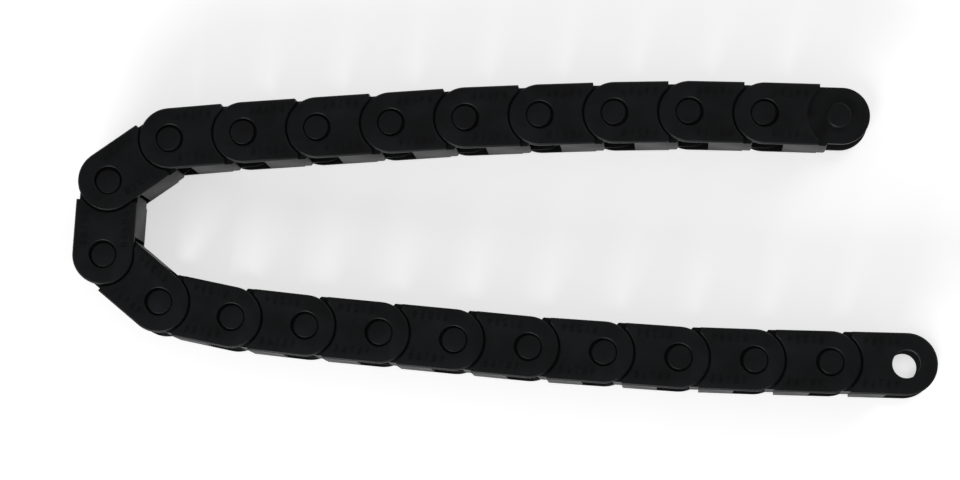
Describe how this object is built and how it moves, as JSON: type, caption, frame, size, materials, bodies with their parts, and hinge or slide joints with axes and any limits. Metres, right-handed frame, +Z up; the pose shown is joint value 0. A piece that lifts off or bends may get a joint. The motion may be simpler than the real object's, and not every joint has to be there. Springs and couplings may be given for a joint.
{
  "type": "cable drag chain",
  "caption": "Closed plastic cable drag chain of one-piece snap links, lying on its side in a U; each joint bends one way from straight to its stop.",
  "frame": {"origin": "centre of the bounding box's footprint, on the plane that the chain's side plates lie on", "axes": "+X along the two runs toward the chain's two ends, +Y from the lower run to the upper run of the U, +Z up across the width of the chain, parallel to every pivot"},
  "size_m": [0.2074, 0.076, 0.0154],
  "materials": {
    "link_plastic": "moulded black nylon, slight satin sheen"
  },
  "bodies": {
    "link_01": {"link_01": "link_plastic"},
    "link_02": {"link_02": "link_plastic"},
    "link_03": {"link_03": "link_plastic"},
    "link_04": {"link_04": "link_plastic"},
    "link_05": {"link_05": "link_plastic"},
    "link_06": {"link_06": "link_plastic"},
    "link_07": {"link_07": "link_plastic"},
    "link_08": {"link_08": "link_plastic"},
    "link_09": {"link_09": "link_plastic"},
    "link_10": {"link_10": "link_plastic"},
    "link_11": {"link_11": "link_plastic"},
    "link_12": {"link_12": "link_plastic"},
    "link_13": {"link_13": "link_plastic"},
    "link_14": {"link_14": "link_plastic"},
    "link_15": {"link_15": "link_plastic"},
    "link_16": {"link_16": "link_plastic"},
    "link_17": {"link_17": "link_plastic"},
    "link_18": {"link_18": "link_plastic"},
    "link_19": {"link_19": "link_plastic"},
    "link_20": {"link_20": "link_plastic"},
    "link_21": {"link_21": "link_plastic"},
    "link_22": {"link_22": "link_plastic"}
  },
  "joints": [
    {"name": "pivot_01", "type": "hinge", "parent": "link_02", "child": "link_01", "pos_m": [0.0637, 0.02996, 0.0077], "axis": [0, 0, 1], "range_deg": [-53.5, 0.5]},
    {"name": "pivot_02", "type": "hinge", "parent": "link_03", "child": "link_02", "pos_m": [0.04571, 0.03059, 0.0077], "axis": [0, 0, 1], "range_deg": [-52, 2]},
    {"name": "pivot_03", "type": "hinge", "parent": "link_04", "child": "link_03", "pos_m": [0.02771, 0.03059, 0.0077], "axis": [0, 0, 1], "range_deg": [-53, 1]},
    {"name": "pivot_04", "type": "hinge", "parent": "link_05", "child": "link_04", "pos_m": [0.00971, 0.03028, 0.0077], "axis": [0, 0, 1], "range_deg": [-36.5, 0.5]},
    {"name": "pivot_05", "type": "hinge", "parent": "link_06", "child": "link_05", "pos_m": [-0.00828, 0.0298, 0.0077], "axis": [0, 0, 1], "range_deg": [-28.5, 1.5]},
    {"name": "pivot_06", "type": "hinge", "parent": "link_07", "child": "link_06", "pos_m": [-0.02626, 0.02886, 0.0077], "axis": [0, 0, 1], "range_deg": [-23.5, 0]},
    {"name": "pivot_07", "type": "hinge", "parent": "link_08", "child": "link_07", "pos_m": [-0.04423, 0.02792, 0.0077], "axis": [0, 0, 1], "range_deg": [-20, 0]},
    {"name": "pivot_08", "type": "hinge", "parent": "link_09", "child": "link_08", "pos_m": [-0.06221, 0.02698, 0.0077], "axis": [0, 0, 1], "range_deg": [-17, 1]},
    {"name": "pivot_09", "type": "hinge", "parent": "link_10", "child": "link_09", "pos_m": [-0.08016, 0.02572, 0.0077], "axis": [0, 0, 1], "range_deg": [-15, 30]},
    {"name": "pivot_10", "type": "hinge", "parent": "link_11", "child": "link_10", "pos_m": [-0.09508, 0.01566, 0.0077], "axis": [0, 0, 1], "range_deg": [-2, 52]},
    {"name": "pivot_11", "type": "hinge", "parent": "link_11", "child": "link_12", "pos_m": [-0.09634, -0.0023, 0.0077], "axis": [0, 0, 1], "range_deg": [-53.5, 0.5]},
    {"name": "pivot_12", "type": "hinge", "parent": "link_12", "child": "link_13", "pos_m": [-0.08265, -0.01399, 0.0077], "axis": [0, 0, 1], "range_deg": [-28, 14.5]},
    {"name": "pivot_13", "type": "hinge", "parent": "link_13", "child": "link_14", "pos_m": [-0.06508, -0.01789, 0.0077], "axis": [0, 0, 1], "range_deg": [-5.5, 16.5]},
    {"name": "pivot_14", "type": "hinge", "parent": "link_14", "child": "link_15", "pos_m": [-0.04721, -0.02008, 0.0077], "axis": [0, 0, 1], "range_deg": [-1, 18.5]},
    {"name": "pivot_15", "type": "hinge", "parent": "link_15", "child": "link_16", "pos_m": [-0.02931, -0.02196, 0.0077], "axis": [0, 0, 1], "range_deg": [0, 21]},
    {"name": "pivot_16", "type": "hinge", "parent": "link_16", "child": "link_17", "pos_m": [-0.01141, -0.02384, 0.0077], "axis": [0, 0, 1], "range_deg": [0, 24.5]},
    {"name": "pivot_17", "type": "hinge", "parent": "link_17", "child": "link_18", "pos_m": [0.00649, -0.02572, 0.0077], "axis": [0, 0, 1], "range_deg": [-1.5, 29.5]},
    {"name": "pivot_18", "type": "hinge", "parent": "link_18", "child": "link_19", "pos_m": [0.02443, -0.02714, 0.0077], "axis": [0, 0, 1], "range_deg": [0, 37]},
    {"name": "pivot_19", "type": "hinge", "parent": "link_19", "child": "link_20", "pos_m": [0.04238, -0.02855, 0.0077], "axis": [0, 0, 1], "range_deg": [-2, 52]},
    {"name": "pivot_20", "type": "hinge", "parent": "link_20", "child": "link_21", "pos_m": [0.06036, -0.02933, 0.0077], "axis": [0, 0, 1], "range_deg": [-0.5, 53.5]},
    {"name": "pivot_21", "type": "hinge", "parent": "link_21", "child": "link_22", "pos_m": [0.07835, -0.02996, 0.0077], "axis": [0, 0, 1], "range_deg": [0, 54]}
  ]
}
